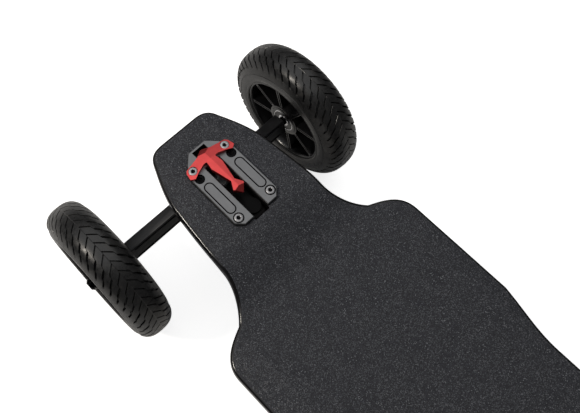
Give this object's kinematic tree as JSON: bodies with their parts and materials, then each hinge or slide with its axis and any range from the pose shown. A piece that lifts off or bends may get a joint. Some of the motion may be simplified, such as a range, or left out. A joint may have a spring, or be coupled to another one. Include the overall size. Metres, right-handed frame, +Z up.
{
  "type": "electric mountainboard",
  "caption": "Electric mountainboard: dropped deck with grip, leaning trucks, air tyres, belt drive at the rear and a battery case below.",
  "frame": {"origin": "on the ground under the middle of the deck", "axes": "+X to the nose, +Y to the rider's left, +Z up"},
  "size_m": [1.0974, 0.3242, 0.168],
  "materials": {
    "deck": "black gloss lacquer",
    "grip": "coarse grit with small glints",
    "case_plastic": "fine moulded grain",
    "battery_wrap": "shrink wrap",
    "anodised_grey": "satin anodised",
    "anodised_red": "satin anodised",
    "black_metal": "satin black coat",
    "bright_steel": "polished",
    "black_steel": "black oxide",
    "motor_metal": "black coat",
    "urethane": "smooth cast urethane",
    "rubber": "matte",
    "tyre_rubber": "matte with polished tread edges",
    "hub_plastic": "moulded"
  },
  "bodies": {
    "root": {"deck": "deck", "grip_tape": "grip", "battery_case": "case_plastic", "battery_pack": "battery_wrap", "motor_controller": "anodised_grey", "charge_socket": "case_plastic", "front_top_plate": "anodised_grey", "front_tee_bridge": "anodised_red", "front_leg_screw_left": "bright_steel", "front_leg_screw_right": "bright_steel", "front_cap_screw_left": "black_steel", "front_cap_screw_right": "black_steel", "front_tee_screw_left": "bright_steel", "front_tee_screw_right": "bright_steel", "front_truck_base": "black_metal", "front_pivot_cup": "urethane", "front_kingpin": "bright_steel", "front_boardside_bushing": "urethane", "front_roadside_bushing": "urethane", "rear_top_plate": "anodised_grey", "rear_tee_bridge": "anodised_red", "rear_leg_screw_left": "bright_steel", "rear_leg_screw_right": "bright_steel", "rear_cap_screw_left": "black_steel", "rear_cap_screw_right": "black_steel", "rear_tee_screw_left": "bright_steel", "rear_tee_screw_right": "bright_steel", "rear_truck_base": "black_metal", "rear_pivot_cup": "urethane", "rear_kingpin": "bright_steel", "rear_boardside_bushing": "urethane", "rear_roadside_bushing": "urethane"},
    "front_truck_hanger": {"front_hanger": "black_metal", "front_axle": "black_steel"},
    "front_left_wheel": {"front_left_tyre": "tyre_rubber", "front_left_hub": "hub_plastic", "front_left_bearings": "bright_steel"},
    "front_right_wheel": {"front_right_tyre": "tyre_rubber", "front_right_hub": "hub_plastic", "front_right_bearings": "bright_steel"},
    "rear_truck_hanger": {"rear_hanger": "black_metal", "rear_axle": "black_steel", "motor_mount_left": "black_metal", "motor_stator_left": "anodised_grey", "drive_belt_left": "rubber", "motor_mount_right": "black_metal", "motor_stator_right": "anodised_grey", "drive_belt_right": "rubber"},
    "rear_left_wheel": {"rear_left_tyre": "tyre_rubber", "rear_left_hub": "hub_plastic", "rear_left_bearings": "bright_steel", "wheel_pulley_left": "hub_plastic"},
    "rear_right_wheel": {"rear_right_tyre": "tyre_rubber", "rear_right_hub": "hub_plastic", "rear_right_bearings": "bright_steel", "wheel_pulley_right": "hub_plastic"},
    "left_rotor": {"motor_rotor_left": "motor_metal"},
    "right_rotor": {"motor_rotor_right": "motor_metal"},
    "charge_cap": {"charge_cap": "rubber"},
    "power_button": {"power_button": "bright_steel"}
  },
  "joints": [
    {"name": "front_lean", "type": "hinge", "parent": "root", "child": "front_truck_hanger", "pos_m": [0.44332, 0, 0.07833], "axis": [0.7071, 0, 0.7071], "range_deg": [-20, 20], "stiffness_Nm_per_rad": 80, "deforming": ["front_boardside_bushing", "front_roadside_bushing"]},
    {"name": "front_left_wheel_spin", "type": "hinge", "parent": "front_truck_hanger", "child": "front_left_wheel", "pos_m": [0.4663, 0.1355, 0.0825], "axis": [0, 1, 0], "continuous": true},
    {"name": "front_right_wheel_spin", "type": "hinge", "parent": "front_truck_hanger", "child": "front_right_wheel", "pos_m": [0.4663, -0.1355, 0.0825], "axis": [0, 1, 0], "continuous": true},
    {"name": "rear_lean", "type": "hinge", "parent": "root", "child": "rear_truck_hanger", "pos_m": [-0.44332, 0, 0.07833], "axis": [-0.7071, 0, 0.7071], "range_deg": [-20, 20], "stiffness_Nm_per_rad": 80, "deforming": ["rear_boardside_bushing", "rear_roadside_bushing"]},
    {"name": "rear_left_wheel_spin", "type": "hinge", "parent": "rear_truck_hanger", "child": "rear_left_wheel", "pos_m": [-0.4663, 0.1355, 0.0825], "axis": [0, 1, 0], "continuous": true, "deforming": ["drive_belt_left"]},
    {"name": "rear_right_wheel_spin", "type": "hinge", "parent": "rear_truck_hanger", "child": "rear_right_wheel", "pos_m": [-0.4663, -0.1355, 0.0825], "axis": [0, 1, 0], "continuous": true, "deforming": ["drive_belt_right"]},
    {"name": "left_rotor_spin", "type": "hinge", "parent": "rear_truck_hanger", "child": "left_rotor", "pos_m": [-0.39065, 0.0686, 0.06223], "axis": [0, 1, 0], "continuous": true},
    {"name": "right_rotor_spin", "type": "hinge", "parent": "rear_truck_hanger", "child": "right_rotor", "pos_m": [-0.39065, -0.0686, 0.06223], "axis": [0, 1, 0], "continuous": true},
    {"name": "charge_cap_flip", "type": "hinge", "parent": "root", "child": "charge_cap", "pos_m": [-0.21, 0.0991, 0.1207], "axis": [1, 0, 0], "range_deg": [0, 95]},
    {"name": "power_button_press", "type": "slide", "parent": "root", "child": "power_button", "axis": [0, -1, 0], "range_m": [0, 0.0015], "stiffness_N_per_m": 600}
  ],
  "couplings": [
    {"joint": "left_rotor_spin", "follows": "rear_left_wheel_spin", "ratio": 3},
    {"joint": "right_rotor_spin", "follows": "rear_right_wheel_spin", "ratio": 3}
  ]
}
